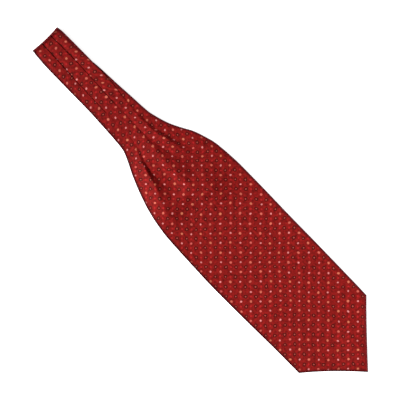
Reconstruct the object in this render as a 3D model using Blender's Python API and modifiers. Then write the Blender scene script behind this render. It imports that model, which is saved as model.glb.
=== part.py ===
"""A man's silk day cravat, folded in half at the middle of its neck and laid flat, face up.

Blender units are metres, +Z up. The cravat lies along Y on the plane z = 0, with its point towards -Y
and the fold of its neck towards +Y. Each half is a wide pointed blade whose neck is gathered into three
knife pleats. The pleats are pressed flat for the length of the neck and then open into the blade in soft,
hollow folds.

The front half is one wall of doubled silk, 1 mm thick. The back half lies hidden under it, so its layers
are one rounded solid with a groove between layers round its edge. They meet at the seam in the middle of
the neck, which is the fold.

Every size below is in millimetres. "Along" is the distance from the fold towards the point, "across" is
the distance from the line through the point, positive to the right, and heights are above what the silk
lies on.
"""

from collections import namedtuple
from math import acos, atan2, cos, hypot, pi, radians, sin

import bmesh
import bpy
import numpy as np

MM = 0.001

# Driving sizes
FOLDED_LENGTH = 620.0
POINT_ACROSS = 0.0
LEFT_SHOULDER = 557.0
RIGHT_SHOULDER = 545.0
LEFT_POINT_EDGE_HOLLOW = 2.6
RIGHT_POINT_EDGE_HOLLOW = 0.8
SILK = 1.0
SEAM_GAP = 0.3
LAYER = SILK + SEAM_GAP
BLADE_START = 318.0
FLARE_START = 165.0

# Outline of the folded cravat seen from above: how far it reaches to each side.
Outline = namedtuple("Outline", "along left right")
OUTLINE = (
    Outline(0, 22.6, 22.2),
    Outline(10, 24.2, 23.8),
    Outline(35, 25.2, 24.2),
    Outline(75, 25.2, 25.2),
    Outline(107, 25.0, 26.6),
    Outline(135, 25.8, 28.6),
    Outline(165, 27.2, 30.8),
    Outline(179, 28.6, 34.0),
    Outline(195, 34.6, 39.2),
    Outline(211, 42.2, 47.0),
    Outline(227, 48.8, 56.0),
    Outline(243, 54.6, 61.8),
    Outline(259, 59.6, 66.2),
    Outline(283, 64.8, 68.8),
    Outline(307, 67.6, 70.0),
    Outline(350, 69.2, 70.1),
    Outline(395, 70.1, 69.8),
    Outline(450, 69.2, 70.0),
    Outline(520, 67.4, 69.8),
    Outline(560, 67.0, 69.4),
    Outline(620, 67.0, 69.4),
)

# How far the right edge of the cloth stays hidden under the last pleat.
HiddenEdge = namedtuple("HiddenEdge", "along depth")
HIDDEN_EDGE = (
    HiddenEdge(0, 3.0),
    HiddenEdge(50, 2.0),
    HiddenEdge(85, 0.0),
    HiddenEdge(620, 0.0),
)

# The three knife pleats, from left to right. Each turns under at its edge. The tuck is how far the cloth
# goes back beneath that edge, and it is below zero once the pleat has opened. Top is the height of the
# strip that ends at the edge, and under is the height of the strip that comes out below it.
Pleat = namedtuple("Pleat", "along edge tuck top under")
LEFT_PLEAT = (
    Pleat(0, -8.2, 8.0, 2.6, 0.0),
    Pleat(35, -8.8, 8.0, 2.6, 0.0),
    Pleat(70, -10.4, 8.0, 2.6, 0.0),
    Pleat(165, -12.8, 8.0, 2.6, 0.0),
    Pleat(180, -13.4, 8.0, 3.0, 0.0),
    Pleat(195, -15.6, 7.0, 4.4, 0.0),
    Pleat(210, -19.4, 6.0, 6.0, 0.2),
    Pleat(225, -21.6, 5.0, 6.8, 0.4),
    Pleat(240, -25.0, 3.0, 6.4, 0.8),
    Pleat(255, -29.0, 0.0, 5.0, 1.2),
    Pleat(270, -33.0, -5.0, 3.6, 1.4),
    Pleat(285, -38.0, -9.0, 1.8, 1.0),
    Pleat(300, -42.0, -12.0, 0.0, 0.0),
    Pleat(318, -44.0, -14.0, 0.0, 0.0),
)
MIDDLE_PLEAT = (
    Pleat(0, 7.4, 8.0, 2.6, 0.0),
    Pleat(35, 8.4, 8.0, 2.6, 0.0),
    Pleat(84, 7.6, 8.0, 2.6, 0.0),
    Pleat(150, 4.0, 6.0, 2.6, 0.0),
    Pleat(170, 2.4, 3.0, 3.0, 0.2),
    Pleat(185, 2.6, -0.5, 4.4, 1.6),
    Pleat(200, 4.6, -2.5, 6.2, 3.0),
    Pleat(215, 6.0, -4.0, 7.6, 4.2),
    Pleat(235, 5.6, -5.0, 8.2, 4.6),
    Pleat(255, 3.4, -6.0, 7.4, 4.2),
    Pleat(272, 3.6, -8.0, 5.4, 3.2),
    Pleat(287, 4.0, -11.0, 2.2, 1.4),
    Pleat(300, 4.0, -14.0, 0.0, 0.0),
    Pleat(318, 4.0, -16.0, 0.0, 0.0),
)
RIGHT_PLEAT = (
    Pleat(0, 21.7, 8.0, 2.6, 0.0),
    Pleat(10, 23.3, 8.0, 2.6, 0.0),
    Pleat(35, 23.7, 8.0, 2.6, 0.0),
    Pleat(75, 24.2, 8.0, 2.6, 0.0),
    Pleat(107, 22.8, 8.0, 2.6, 0.0),
    Pleat(135, 21.2, 8.0, 2.6, 0.0),
    Pleat(168, 19.6, 8.0, 3.0, 0.0),
    Pleat(184, 20.4, 7.0, 4.4, 0.2),
    Pleat(203, 23.8, 4.0, 6.2, 0.8),
    Pleat(215, 27.0, 0.5, 6.2, 1.2),
    Pleat(228, 31.0, -5.0, 5.4, 1.8),
    Pleat(245, 37.0, -10.0, 3.8, 2.0),
    Pleat(270, 44.0, -15.0, 2.0, 1.2),
    Pleat(300, 50.0, -16.0, 0.0, 0.0),
    Pleat(318, 50.0, -16.0, 0.0, 0.0),
)
PLEATS = (LEFT_PLEAT, MIDDLE_PLEAT, RIGHT_PLEAT)

# Soft folds that run over the open part of the cloth, each along a line bent between three places
# (along, across). A height below zero is a trough.
Fold = namedtuple("Fold", "name start middle end height reach")
FOLDS = (
    Fold("end of the puff", (284, -44), (283, -16), (281, 22), 2.6, 7.0),
    Fold("trough below it", (293, -46), (292, -20), (296, 6), -0.7, 4.0),
    Fold("lip of the blade", (296, -54), (303, -8), (299, 46), 1.0, 4.5),
    Fold("roll of the left side", (196, -26), (230, -37), (276, -52), 1.6, 7.0),
    Fold("roll of the right side", (196, 32), (232, 48), (274, 58), 1.2, 7.0),
    Fold("ripple towards the point", (430, -58), (500, -30), (560, -34), 0.9, 16.0),
    Fold("lift of the point", (560, 26), (590, 8), (612, 2), 1.2, 16.0),
)

# The hidden back half: how thick its layers are together in the middle and at the edge. Its edge runs
# through three heights, as shares of its thickness, each with how far it goes in.
Thickness = namedtuple("Thickness", "along crown rim")
BACK_THICKNESS = (
    Thickness(0, 3.8, 3.8),
    Thickness(40, 3.8, 3.8),
    Thickness(165, 3.9, 3.2),
    Thickness(200, 4.6, 2.4),
    Thickness(240, 4.2, 1.7),
    Thickness(285, 2.2, 1.3),
    Thickness(318, 1.2, 1.2),
    Thickness(620, 1.2, 1.2),
)
BACK_INSET = 0.8
BACK_ROUNDING = 0.4
BACK_GROOVE = 0.5
BACK_EDGE = ((0.25, 0.0), (0.5, BACK_GROOVE), (0.75, 0.0))

# The fold of the neck: both halves turn about one line across the cravat, half a gap above the back half.
FOLD_AXIS_ALONG = 3.95
FOLD_HOLLOW = 1.2
FOLD_HOLLOW_FADE = 20.0
FOLD_FULLNESS = 0.7
INNER_RADIUS = LAYER / 2

# How finely the surfaces are divided, and the angles in degrees at which a pleat counts as open and closed.
HIDDEN_STEPS = 2
SHOWN_STEPS = 5
CENTRE_STEPS = 2
HIDDEN_SHARES = (0.25, 0.75)
SHOWN_WITHIN = 3.0
CIRCLE_STEPS = 4
FOLD_STEPS = 4
NECK_ROWS = 7
FLARE_ROWS = 24
BLADE_ROWS = 10
FOLD_LINE_POINTS = 25
STRIP_POINTS = 40
TURN_POINTS = 14
TURN_SHOWN_SHARE = 1 / 6
OPEN_TURN = 60
CLOSED_TURN = 120
BACK_COLUMNS = 8
BACK_NECK_ROWS = 5
BACK_FLARE_ROWS = 12
BACK_BLADE_ROWS = 8
BACK_FOLD_ANGLES = (12, 32, 58)

FRONT_RED = (0.33, 0.018, 0.016, 1.0)
BACK_RED = (0.30, 0.016, 0.015, 1.0)
SILK_ROUGHNESS = 0.45


def smooth(table, column, along):
    """A column of a table at a distance from the fold, from a curve that doesn't swing past its rows."""
    x = np.array([row.along for row in table], float)
    y = np.array([getattr(row, column) for row in table], float)
    slope = np.diff(y) / np.diff(x)
    before, after = slope[:-1], slope[1:]
    tangent = np.concatenate([slope[:1], np.zeros(len(x) - 2), slope[-1:]])
    same_way = before * after > 0
    tangent[1:-1][same_way] = (2 * before * after)[same_way] / (before + after)[same_way]
    at = np.clip(along, x[0], x[-1])
    k = np.clip(np.searchsorted(x, at) - 1, 0, len(x) - 2)
    step = x[k + 1] - x[k]
    t = (at - x[k]) / step
    from_start = (1 + 2 * t) * (1 - t) ** 2 * y[k] + t * (1 - t) ** 2 * step * tangent[k]
    from_end = t * t * (3 - 2 * t) * y[k + 1] + t * t * (t - 1) * step * tangent[k + 1]
    return from_start + from_end


def eased(value):
    """0 below 0, 1 above 1, and a smooth rise between."""
    t = np.clip(value, 0.0, 1.0)
    return t * t * (3 - 2 * t)


def back_thickness(along, across):
    """Height of the back half's upper side, which carries the front half."""
    along, across = np.asarray(along, float), np.asarray(across, float)
    crown, rim = (smooth(BACK_THICKNESS, name, along) for name in ("crown", "rim"))
    left, right = (smooth(OUTLINE, name, along) for name in ("left", "right"))
    share = across / np.where(across < 0, left, right)
    return rim + (crown - rim) * np.clip(1 - share**2, 0, 1)


def fold_height(fold, along, across):
    """Height that one soft fold adds at a place."""
    t = np.linspace(0, 1, FOLD_LINE_POINTS)[:, None]
    start, middle, end = (np.array(place, float) for place in (fold.start, fold.middle, fold.end))
    line = (1 - t) ** 2 * start + 2 * t * (1 - t) * middle + t**2 * end
    away = np.hypot(along[:, None] - line[:, 0], across[:, None] - line[:, 1])
    nearest = away.argmin(1)
    fade = np.sin(pi * t[:, 0]) ** 0.6
    return fold.height * fade[nearest] * np.exp(-((away.min(1) / fold.reach) ** 2))


def soft_folds(along, across):
    return sum(fold_height(fold, along, across) for fold in FOLDS)


def fold_axis_height():
    """Height of the line that both halves turn about at the fold of the neck."""
    return float(back_thickness(FOLD_AXIS_ALONG, POINT_ACROSS)) + SEAM_GAP / 2


def pleat_turn(edge, tuck, top, under):
    """The cloth's line over a pleat's edge, back beneath it and round the inner fold, as (across, height).

    Two circles of one radius, at the edge and at the inner fold, are joined by the line that touches both.
    It gives a flat pressed pleat, and an open slope once the tuck is below zero. The second result is how
    far the cloth turns.
    """
    radius = max(LAYER / 2, (top - under) / 4)
    step_across = 2 * radius - tuck
    step_up = 2 * radius - (top - under)
    towards = atan2(step_across, step_up) % (2 * pi)
    turn = max(0.0, towards - acos(min(1.0, 2 * radius / hypot(step_across, step_up))))
    angle = np.linspace(0, turn, TURN_POINTS)
    outwards, upwards = radius * np.sin(angle), radius * np.cos(angle)
    over = np.stack([edge - radius + outwards, top - radius + upwards], 1)
    back = np.stack([edge - tuck + radius - outwards, under + radius - upwards], 1)
    return np.concatenate([over, back[::-1]]), turn


def strip(start, end, ramp_start, ramp_end, low, high):
    """A stretch of cloth from one pleat to the next, rising or falling between two places."""
    across = np.linspace(start, end, STRIP_POINTS)
    ramp_end = max(ramp_end, ramp_start + 0.5)
    height = low + (high - low) * eased((across - ramp_start) / (ramp_end - ramp_start))
    shown = eased((across - ramp_start) / SHOWN_WITHIN) if ramp_start > start else np.ones(STRIP_POINTS)
    return np.stack([across, height, shown], 1)


def strip_columns(points, ramp_start, steps):
    """A strip's columns: a few where it is hidden under the pleat before it, and the rest where it shows."""
    start, end = points[0, 0], points[-1, 0]
    least, most = (start + share * (end - start) for share in HIDDEN_SHARES)
    knot = min(max(ramp_start, least), most)
    hidden, shown = np.linspace(start, knot, HIDDEN_STEPS + 1), np.linspace(knot, end, steps + 1)
    return np.concatenate([hidden, shown[1:]])


def at_columns(points, across):
    """A strip's points at chosen places across."""
    return np.stack([across, *(np.interp(across, points[:, 0], points[:, k]) for k in (1, 2))], 1)


def length_along(points):
    """How far along the cloth each point is. Points that fall together are kept apart by a hair."""
    steps = np.diff(points[:, :2], axis=0)
    return np.concatenate([[0], np.cumsum(np.hypot(steps[:, 0], steps[:, 1]) + 1e-9)])


def turn_columns(turned, closed):
    """A turn at its columns: equal steps round each of its circles, or all along it once it is open."""
    length = length_along(turned)
    over = np.linspace(0, TURN_POINTS - 1, CIRCLE_STEPS + 1)
    round_circles = np.interp(np.concatenate([over, over + TURN_POINTS]), np.arange(len(turned)), length)
    evenly = np.linspace(0, length[-1], 2 * CIRCLE_STEPS + 2)
    stations = closed * round_circles + (1 - closed) * evenly
    return np.stack([np.interp(stations, length, turned[:, k]) for k in range(3)], 1)


def cloth_section(along):
    """The front half cut across at one place, as (across, height, shown) at each column of its mesh.

    Shown is 1 on cloth that can be seen and 0 where it is hidden in a pleat. Each strip and each turn has
    its own columns, and one column always lies on the line through the point.
    """
    left, right = smooth(OUTLINE, "left", along), smooth(OUTLINE, "right", along)
    right = right - smooth(HIDDEN_EDGE, "depth", along)
    stretches = []
    start, ramp_start, low = -left, -left, 0.0
    for table in PLEATS:
        edge, tuck, top, under = (float(smooth(table, name, along)) for name in Pleat._fields[1:])
        turned, turn = pleat_turn(edge, tuck, top, under)
        end = turned[0, 0]
        rise = strip(start, end, ramp_start, min(edge - tuck - 1.0, end), low, top)
        across = strip_columns(rise, ramp_start, SHOWN_STEPS)
        if table is MIDDLE_PLEAT:
            to_point = rise[rise[:, 0] <= POINT_ACROSS]
            across = strip_columns(to_point, ramp_start, SHOWN_STEPS - CENTRE_STEPS)
            across[-1] = POINT_ACROSS
            across = np.concatenate([across, np.linspace(POINT_ACROSS, end, CENTRE_STEPS + 1)[1:]])
        stretches.append(at_columns(rise, across))
        closed = float(eased((turn - radians(OPEN_TURN)) / radians(CLOSED_TURN - OPEN_TURN)))
        shown = 1 - closed * np.clip(np.linspace(0, 1, len(turned)) / TURN_SHOWN_SHARE, 0, 1)
        stretches.append(turn_columns(np.column_stack([turned, shown]), closed))
        start, low = turned[-1, 0], under
        ramp_start = max(edge + SILK / 2 + 2 * SEAM_GAP, start)
    last = strip(start, right, ramp_start, right, low, 0.0)
    stretches.append(at_columns(last, strip_columns(last, ramp_start, SHOWN_STEPS)))
    return np.concatenate([stretches[0]] + [stretch[1:] for stretch in stretches[1:]])


def point_edge(share, shoulder, hollow):
    """Distance from the fold to the pointed end, from the point (share 0) to a shoulder (share 1)."""
    return FOLDED_LENGTH + (shoulder - FOLDED_LENGTH) * share - hollow * 4 * share * (1 - share)


def blade_places(share, from_left, from_right, inset):
    """Places on the blade at shares of its half widths, moved in from its edges."""
    left_end = point_edge(from_left, LEFT_SHOULDER, LEFT_POINT_EDGE_HOLLOW)
    right_end = point_edge(from_right, RIGHT_SHOULDER, RIGHT_POINT_EDGE_HOLLOW)
    ends = np.concatenate([left_end, right_end]) - inset
    along = BLADE_START + (ends - BLADE_START) * share
    left = smooth(OUTLINE, "left", along[: len(from_left)]) - inset
    right = smooth(OUTLINE, "right", along[len(from_left) :]) - inset
    across = np.concatenate([-left * from_left, right * from_right])
    return np.column_stack([along, across])


def placed(along, across, height):
    """Points in metres in the cravat's own frame, with the fold's slight hollow."""
    share = across / smooth(OUTLINE, "right", along)
    dent = FOLD_HOLLOW * np.clip(1 - share**2, 0, 1) * np.exp(-np.abs(along) / FOLD_HOLLOW_FADE)
    y = FOLDED_LENGTH / 2 - along - dent
    return np.column_stack([across, y, height]) * MM


def front_rows():
    """Rows of points of the front half's middle surface, from the seam at the fold to the point."""
    section = cloth_section(FOLD_AXIS_ALONG)
    full = INNER_RADIUS + 2 * LAYER
    rows = []
    for step in range(FOLD_STEPS):
        angle = pi / 2 * (1 - step / FOLD_STEPS)
        radius = INNER_RADIUS + section[:, 1]
        radius = radius + section[:, 2] * (full - radius) * FOLD_FULLNESS * sin(angle)
        along = FOLD_AXIS_ALONG - radius * sin(angle)
        rows.append(placed(along, section[:, 0], fold_axis_height() + radius * cos(angle)))
    neck = np.linspace(FOLD_AXIS_ALONG, FLARE_START, NECK_ROWS + 1)[:-1]
    flare = np.linspace(FLARE_START, BLADE_START, FLARE_ROWS + 1)
    for along in np.concatenate([neck, flare]):
        across, height, shown = cloth_section(along).T
        place = np.full(len(across), along)
        height = height + shown * soft_folds(place, across)
        bed = back_thickness(place, across) + SEAM_GAP + SILK / 2
        rows.append(placed(place, across, bed + height))
    from_left = across[across <= POINT_ACROSS] / across[0]
    from_right = across[across > POINT_ACROSS] / across[-1]
    for row in range(1, BLADE_ROWS + 1):
        place, across = blade_places(row / BLADE_ROWS, from_left, from_right, 0.0).T
        bed = back_thickness(place, across) + SEAM_GAP + SILK / 2
        rows.append(placed(place, across, bed + np.maximum(soft_folds(place, across), 0)))
    return rows


def mesh_object(name, mesh, material):
    mesh.materials.append(material)
    made = bpy.data.objects.new(name, mesh)
    bpy.data.collections["silk_cravat"].objects.link(made)
    return made


def front_half(material):
    """The silk that shows: an open surface through the rows, given its thickness by Solidify."""
    shape = bmesh.new()
    rows = [[shape.verts.new(point) for point in row] for row in front_rows()]
    for upper, lower in zip(rows, rows[1:]):
        for k in range(len(upper) - 1):
            shape.faces.new((upper[k], lower[k], lower[k + 1], upper[k + 1]))
    mesh = bpy.data.meshes.new("front_half")
    shape.to_mesh(mesh)
    shape.free()
    mesh.shade_smooth()
    made = mesh_object("front_half", mesh, material)
    wall = made.modifiers.new("doubled silk", "SOLIDIFY")
    wall.thickness = SILK * MM
    wall.offset = 0
    wall.use_even_offset = True
    wall.use_quality_normals = True
    return made


def back_places(inset):
    """Places (along, across) of the back half's grid, a row at a time, moved in from every edge."""
    shares = np.linspace(-1, 1, 2 * BACK_COLUMNS + 1)
    reach = fold_axis_height() - inset
    rows = [FOLD_AXIS_ALONG - reach * cos(radians(angle)) for angle in BACK_FOLD_ANGLES]
    rows += list(np.linspace(FOLD_AXIS_ALONG, FLARE_START, BACK_NECK_ROWS + 1)[:-1])
    rows += list(np.linspace(FLARE_START, BLADE_START, BACK_FLARE_ROWS + 1))
    grid = []
    for along in rows:
        left = smooth(OUTLINE, "left", along) - BACK_INSET - inset
        right = smooth(OUTLINE, "right", along) - BACK_INSET - inset
        across = np.where(shares < 0, shares * left, shares * right)
        grid.append(np.column_stack([np.full(len(shares), along), across]))
    from_left, from_right = -shares[: BACK_COLUMNS + 1], shares[BACK_COLUMNS + 1 :]
    for row in range(1, BACK_BLADE_ROWS + 1):
        grid.append(blade_places(row / BACK_BLADE_ROWS, from_left, from_right, BACK_INSET + inset))
    return np.array(grid)


def back_heights(places):
    """Heights of the back half's under and upper side at each place of its grid. The underside is flat."""
    along, across = places[..., 0].ravel(), places[..., 1].ravel()
    upper = back_thickness(along, across).reshape(places.shape[:2])
    under = np.zeros(places.shape[:2])
    for row, angle in enumerate(BACK_FOLD_ANGLES):
        under[row] = fold_axis_height() * (1 - sin(radians(angle)))
        upper[row] = np.minimum(upper[row], fold_axis_height() - SEAM_GAP)
    return under, upper


def edge_loop(grid):
    """The outer points of a grid, once round."""
    return [*grid[0], *grid[1:, -1], *grid[-1, -2::-1], *grid[-2:0:-1, 0]]


def back_half(material):
    """The hidden half: one rounded solid, flat underneath, with a groove between layers round its edge."""
    middle = back_places(BACK_ROUNDING)
    under, upper = back_heights(middle)
    shape = bmesh.new()

    def grid_of(heights):
        flat = placed(middle[..., 0].ravel(), middle[..., 1].ravel(), heights.ravel())
        made = np.empty(heights.size, object)
        made[:] = [shape.verts.new(point) for point in flat]
        return made.reshape(heights.shape)

    top, bottom = grid_of(upper), grid_of(under)
    for grid, upwards in ((top, True), (bottom, False)):
        for row in range(grid.shape[0] - 1):
            for k in range(grid.shape[1] - 1):
                corners = (grid[row, k], grid[row + 1, k], grid[row + 1, k + 1], grid[row, k + 1])
                shape.faces.new(corners if upwards else corners[::-1])
    low, high = np.array(edge_loop(under)), np.array(edge_loop(upper))
    loops = [edge_loop(bottom)]
    for share, inset in BACK_EDGE:
        along, across = np.array(edge_loop(back_places(inset))).T
        points = placed(along, across, low + (high - low) * share)
        loops.append([shape.verts.new(point) for point in points])
    loops.append(edge_loop(top))
    for lower, higher in zip(loops, loops[1:]):
        for k in range(len(lower)):
            after = (k + 1) % len(lower)
            shape.faces.new((lower[after], lower[k], higher[k], higher[after]))
    mesh = bpy.data.meshes.new("back_half")
    bmesh.ops.recalc_face_normals(shape, faces=shape.faces)
    shape.to_mesh(mesh)
    shape.free()
    mesh.shade_smooth()
    mesh.set_sharp_from_angle(angle=radians(40))
    return mesh_object("back_half", mesh, material)


def silk(name, colour):
    made = bpy.data.materials.new(name)
    made.use_nodes = True
    shader = made.node_tree.nodes["Principled BSDF"]
    shader.inputs["Base Color"].default_value = colour
    shader.inputs["Roughness"].default_value = SILK_ROUGHNESS
    shader.inputs["Metallic"].default_value = 0.0
    return made


def main():
    for old in list(bpy.data.objects):
        bpy.data.objects.remove(old)
    bpy.context.scene.collection.children.link(bpy.data.collections.new("silk_cravat"))
    front_half(silk("front silk", FRONT_RED))
    back_half(silk("back silk", BACK_RED))


main()
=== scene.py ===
"""The looks of a man's silk day cravat, folded in half at the middle of its neck and laid flat, face up.

Blender units are metres, +Z up. The cravat lies along Y on the plane z = 0 with its point towards -Y.
Its sizes below are in millimetres. "Along" is the distance from the fold of the neck towards the point,
"across" is the distance from the line through the point, positive to the right, and heights are above
what the silk lies on.
"""

from collections import namedtuple
from math import acos, atan2, cos, hypot, pi, radians, sin

import bpy
import numpy as np
from mathutils import Matrix, Vector


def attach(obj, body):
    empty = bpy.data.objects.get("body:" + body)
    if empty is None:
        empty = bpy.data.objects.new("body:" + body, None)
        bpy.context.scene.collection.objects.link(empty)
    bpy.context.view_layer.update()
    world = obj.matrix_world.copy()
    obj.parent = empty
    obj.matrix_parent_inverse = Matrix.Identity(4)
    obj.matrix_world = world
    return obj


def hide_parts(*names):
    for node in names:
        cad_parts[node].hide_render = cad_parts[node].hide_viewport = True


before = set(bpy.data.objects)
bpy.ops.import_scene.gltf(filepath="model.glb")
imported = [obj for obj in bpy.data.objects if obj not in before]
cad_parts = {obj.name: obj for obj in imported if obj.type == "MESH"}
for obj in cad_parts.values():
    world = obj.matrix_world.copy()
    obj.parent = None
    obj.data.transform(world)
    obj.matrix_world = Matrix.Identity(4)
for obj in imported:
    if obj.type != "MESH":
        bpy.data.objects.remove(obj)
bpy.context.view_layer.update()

MM = 0.001

# The view: the cravat seen from straight above with its fold at the top left and its point at the bottom
# right. A long lens well above it keeps the far and near ends to one scale.
VIEW_RIGHT = Vector((0.7185, -0.6955, 0.0))
VIEW_UP = Vector((0.6955, 0.7185, 0.0))
VIEW_CENTRE = Vector((-0.0014, 0.0109, 0.005))
VIEW_WIDTH = 0.534
CAMERA_DISTANCE = 4.0
CAMERA_CLIP = (0.05, 50.0)
FILM_WIDTH = 36.0


def in_scene(name, data):
    """An object of some data, in the scene."""
    made = bpy.data.objects.new(name, data)
    bpy.context.scene.collection.objects.link(made)
    return made


lens = bpy.data.cameras.new("camera above the table")
lens.sensor_width = FILM_WIDTH
lens.lens = FILM_WIDTH * CAMERA_DISTANCE / VIEW_WIDTH
lens.clip_start, lens.clip_end = CAMERA_CLIP
camera = in_scene("camera above the table", lens)
facing = Matrix((VIEW_RIGHT, VIEW_UP, Vector((0, 0, 1)))).transposed().to_4x4()
camera.matrix_world = Matrix.Translation(VIEW_CENTRE + Vector((0, 0, CAMERA_DISTANCE))) @ facing
bpy.context.scene.camera = camera
bpy.context.scene.view_settings.view_transform = "Standard"

# The table that the cravat lies on: one sheet of smooth, pale card, wide enough to fill every view and lit
# a little from beneath, as a photographer's white table is, so that its shadows stay pale.
TABLE_HALF_WIDTH = 3.0
TABLE_WHITE = (0.92, 0.92, 0.92, 1.0)
TABLE_ROUGHNESS = 0.9
TABLE_SPECULAR = 0.1
TABLE_GLOW = 0.8
WHITE_LIGHT = (1.0, 1.0, 1.0, 1.0)

card = bpy.data.materials.new("pale card")
card.use_nodes = True
card_shader = card.node_tree.nodes["Principled BSDF"]
card_shader.inputs["Base Color"].default_value = TABLE_WHITE
card_shader.inputs["Roughness"].default_value = TABLE_ROUGHNESS
card_shader.inputs["Specular IOR Level"].default_value = TABLE_SPECULAR
card_shader.inputs["Emission Color"].default_value = WHITE_LIGHT
card_shader.inputs["Emission Strength"].default_value = TABLE_GLOW
corners = [(x * TABLE_HALF_WIDTH, y * TABLE_HALF_WIDTH, 0) for x, y in ((-1, -1), (1, -1), (1, 1), (-1, 1))]
table_mesh = bpy.data.meshes.new("table")
table_mesh.from_pydata(corners, [], [(0, 1, 2, 3)])
table_mesh.materials.append(card)
table = in_scene("table", table_mesh)

# The light: a large soft lamp, low on the left of the view, a second one above the point, which leaves the
# fold of the neck a little darker, and a pale room that fills the shadows.
LAMP_FROM = -0.83 * VIEW_RIGHT + Vector((0, 0, 0.56))
LAMP_STRENGTH = 5.2
LAMP_SPREAD = radians(20)
POINT_LAMP_PLACE = (0.0, -0.42, 0.72)
POINT_LAMP_WIDTH = 0.5
POINT_LAMP_POWER = 2.0
ROOM_STRENGTH = 0.10

lamp_data = bpy.data.lights.new("soft lamp", "SUN")
lamp_data.energy = LAMP_STRENGTH
lamp_data.angle = LAMP_SPREAD
lamp = in_scene("soft lamp", lamp_data)
lamp.rotation_mode = "QUATERNION"
lamp.rotation_quaternion = LAMP_FROM.to_track_quat("Z", "Y")
point_lamp_data = bpy.data.lights.new("lamp above the point", "AREA")
point_lamp_data.size = POINT_LAMP_WIDTH
point_lamp_data.energy = POINT_LAMP_POWER
point_lamp = in_scene("lamp above the point", point_lamp_data)
point_lamp.location = POINT_LAMP_PLACE
point_lamp.visible_camera = False
point_lamp.visible_glossy = False
room = bpy.data.worlds.new("pale room")
room.use_nodes = True
room.node_tree.nodes["Background"].inputs["Color"].default_value = WHITE_LIGHT
room.node_tree.nodes["Background"].inputs["Strength"].default_value = ROOM_STRENGTH
bpy.context.scene.world = room


# Front half: the blade that shows, of doubled silk twill cut on the bias, 620 mm long and 140 mm wide. Its
# neck is pressed into three knife pleats, which soften towards the flare and open there into hollow folds.
# It turns over at the fold of the neck, where it is sewn to the back half.
FOLDED_LENGTH = 620.0
FLARE_START = 165.0
BLADE_START = 318.0

# The pointed end starts at two shoulders, and its two edges are a little hollow. The slant turns a distance
# along the cravat into one square to those edges.
LEFT_SHOULDER = 557.0
RIGHT_SHOULDER = 545.0
LEFT_POINT_EDGE_HOLLOW = 2.6
RIGHT_POINT_EDGE_HOLLOW = 0.8
POINT_EDGE_SLANT = 0.72

# How thick the doubled silk is, how much thicker it gets towards its turned edge and how far in from it, the
# room left between two layers, and how far apart two layers' middles are in the tightest turn.
SILK = 0.4
EDGE_SWELL = 0.5
EDGE_SWELL_WIDTH = 2.5
GAP = 0.25
LAYER = 0.46

# The folded cravat's outline: how far its left and right sides are from the line through the point.
Outline = namedtuple("Outline", "along left right")
OUTLINE = (
    Outline(0, 22.6, 22.2),
    Outline(10, 24.2, 23.8),
    Outline(35, 25.2, 24.2),
    Outline(75, 25.2, 25.2),
    Outline(107, 25.0, 26.6),
    Outline(135, 25.8, 28.6),
    Outline(165, 27.2, 30.8),
    Outline(179, 28.6, 34.0),
    Outline(195, 34.6, 39.2),
    Outline(211, 42.2, 47.0),
    Outline(227, 48.8, 56.0),
    Outline(243, 54.6, 61.8),
    Outline(259, 59.6, 66.2),
    Outline(283, 64.8, 68.8),
    Outline(307, 67.6, 70.0),
    Outline(350, 69.2, 70.1),
    Outline(395, 70.1, 69.8),
    Outline(450, 69.2, 70.0),
    Outline(520, 67.4, 69.8),
    Outline(560, 67.0, 69.4),
    Outline(620, 67.0, 69.4),
)

# The painted shade along the outline: a dark line in the silk's colour that stands for the shadow at its
# turned edges and under them. How far it fades in from each side and from the fold, and the first share of
# that way over which it holds its full dark.
EdgeShade = namedtuple("EdgeShade", "along left right")
EDGE_SHADES = (
    EdgeShade(0, 4.2, 8.0),
    EdgeShade(45, 4.0, 6.5),
    EdgeShade(70, 4.0, 4.0),
    EdgeShade(620, 3.6, 3.6),
)
FOLD_LINE = 4.4
EDGE_SHADE_HOLD = 0.2

# How far the right edge of the silk stays hidden under the last pleat.
HiddenEdge = namedtuple("HiddenEdge", "along depth")
HIDDEN_EDGE = (
    HiddenEdge(0, 3.0),
    HiddenEdge(50, 2.0),
    HiddenEdge(85, 0.0),
    HiddenEdge(620, 0.0),
)

# The three knife pleats, from left to right. Each turns under at its edge. The tuck is how far the silk
# goes back beneath that edge, below zero once the pleat has opened. Top is the height of the strip that
# ends at the edge, and under is the height of the strip that comes out below it.
Pleat = namedtuple("Pleat", "along edge tuck top under")
LEFT_PLEAT = (
    Pleat(0, -8.0, 9.2, 1.6, 0.0),
    Pleat(35, -8.8, 9.2, 1.5, 0.0),
    Pleat(72, -10.2, 6.5, 1.0, 0.0),
    Pleat(110, -10.6, 2.0, 0.94, 0.0),
    Pleat(135, -11.0, -1.5, 0.4, 0.0),
    Pleat(165, -12.0, -2.5, 0.3, 0.0),
    Pleat(183, -14.0, -3.0, 0.6, 0.0),
    Pleat(198, -17.8, -3.5, 1.2, 0.0),
    Pleat(211, -22.4, -3.0, 2.4, 0.0),
    Pleat(224, -25.8, -3.2, 4.0, 0.0),
    Pleat(238, -28.8, -5.5, 5.1, 0.7),
    Pleat(251, -33.2, -10.0, 5.5, 1.5),
    Pleat(265, -39.8, -15.0, 5.3, 2.1),
    Pleat(280, -45.0, -16.0, 4.4, 2.7),
    Pleat(287, -46.2, -17.0, 3.4, 2.6),
    Pleat(293, -46.8, -18.0, 2.2, 1.6),
    Pleat(299, -47.0, -18.0, 1.2, 0.4),
    Pleat(310, -47.0, -18.0, 0.7, 0.2),
    Pleat(335, -47.0, -14.0, 0.0, 0.0),
)
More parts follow.
